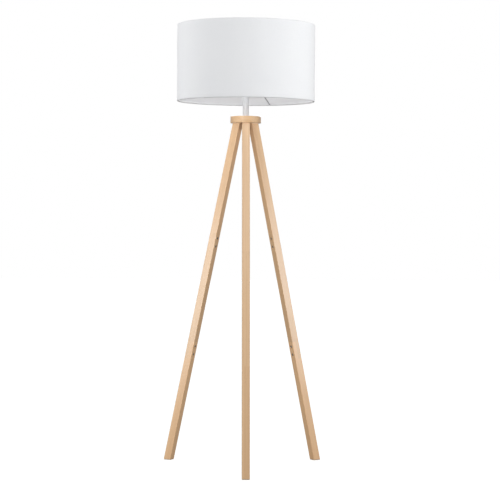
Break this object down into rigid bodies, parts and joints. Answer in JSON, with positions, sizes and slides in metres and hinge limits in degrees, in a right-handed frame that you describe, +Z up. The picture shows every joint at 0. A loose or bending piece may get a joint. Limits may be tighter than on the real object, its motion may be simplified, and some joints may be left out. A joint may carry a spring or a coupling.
{
  "type": "tripod floor lamp",
  "caption": "Floor lamp with square wooden tripod legs, a round wooden disc, a short white stem and a large white drum shade around a screw-in bulb.",
  "frame": {"origin": "the point of the floor under the lamp's own axis, in the middle of its three feet", "axes": "+Z up along the stem and the shade's axis; the front leg stands towards -Y, and the two rear legs 120 degrees to each side of it"},
  "size_m": [0.5264, 0.5222, 1.4445],
  "materials": {
    "wood": "light beech, clear satin lacquer, straight fine grain",
    "zinc_steel": "zinc-plated steel",
    "brass": "plain turned brass",
    "white_paint": "white powder coat, satin",
    "white_plastic": "moulded white plastic",
    "terminal_block": "ceramic-like matt block",
    "felt": "beige pressed felt",
    "shade_fabric": "fine plain-weave white cotton blend",
    "shade_liner": "smooth white lampshade liner",
    "opal_globe": "opal white diffuser",
    "bulb_plastic": "white heat-conducting plastic",
    "led_board": "white solder mask on aluminium",
    "circuit_board": "green circuit board",
    "bulb_cap_metal": "nickel-plated screw cap",
    "black_insulator": "black moulded insulator"
  },
  "bodies": {
    "stand": {"leg_front_upper": "wood", "leg_front_middle": "wood", "leg_front_lower": "wood", "leg_right_upper": "wood", "leg_right_middle": "wood", "leg_right_lower": "wood", "leg_left_upper": "wood", "leg_left_middle": "wood", "leg_left_lower": "wood", "leg_joint_bolts": "zinc_steel", "leg_joint_inserts": "brass", "leg_top_bolts": "zinc_steel", "leg_top_inserts": "brass", "foot_pads": "felt", "top_disc": "wood", "stem_tube": "white_paint", "stem_lower_bush": "brass", "stem_upper_bush": "white_paint", "threaded_rod": "zinc_steel", "lower_washer": "zinc_steel", "lower_nut": "zinc_steel", "cord_grip": "white_plastic", "holder_cap": "white_plastic", "holder_grub_screw": "zinc_steel", "holder_shell": "white_plastic", "holder_thread_sleeve": "brass", "holder_core": "terminal_block", "terminal_screws": "zinc_steel", "holder_centre_contact": "brass", "shade_ring_lower": "white_plastic"},
    "shade": {"shade_fabric": "shade_fabric", "shade_liner": "shade_liner", "shade_top_hoop": "white_paint", "shade_bottom_hoop": "white_paint", "fitter_ring": "white_paint", "fitter_spokes": "white_paint"},
    "locking_ring": {"shade_ring_upper": "white_plastic"},
    "bulb_base": {"bulb_contact": "brass", "bulb_insulator": "black_insulator"},
    "bulb": {"bulb_cap": "bulb_cap_metal", "bulb_housing": "bulb_plastic", "bulb_led_board": "led_board", "bulb_driver": "circuit_board", "bulb_globe": "opal_globe"}
  },
  "joints": [
    {"name": "shade_turn", "type": "hinge", "parent": "stand", "child": "shade", "pos_m": [0, 0, 1.2355], "axis": [0, 0, 1], "continuous": true},
    {"name": "shade_ring_turn", "type": "hinge", "parent": "stand", "child": "locking_ring", "pos_m": [0, 0, 1.2396], "axis": [0, 0, 1], "range_deg": [0, 1800]},
    {"name": "bulb_lift", "type": "slide", "parent": "stand", "child": "bulb_base", "axis": [0, 0, 1], "range_m": [0, 0.0128]},
    {"name": "bulb_turn", "type": "hinge", "parent": "bulb_base", "child": "bulb", "pos_m": [0, 0, 1.26], "axis": [0, 0, 1], "range_deg": [0, 1260]}
  ],
  "couplings": [
    {"joint": "bulb_lift", "follows": "bulb_turn", "m_per_rad": 0.0005775}
  ]
}
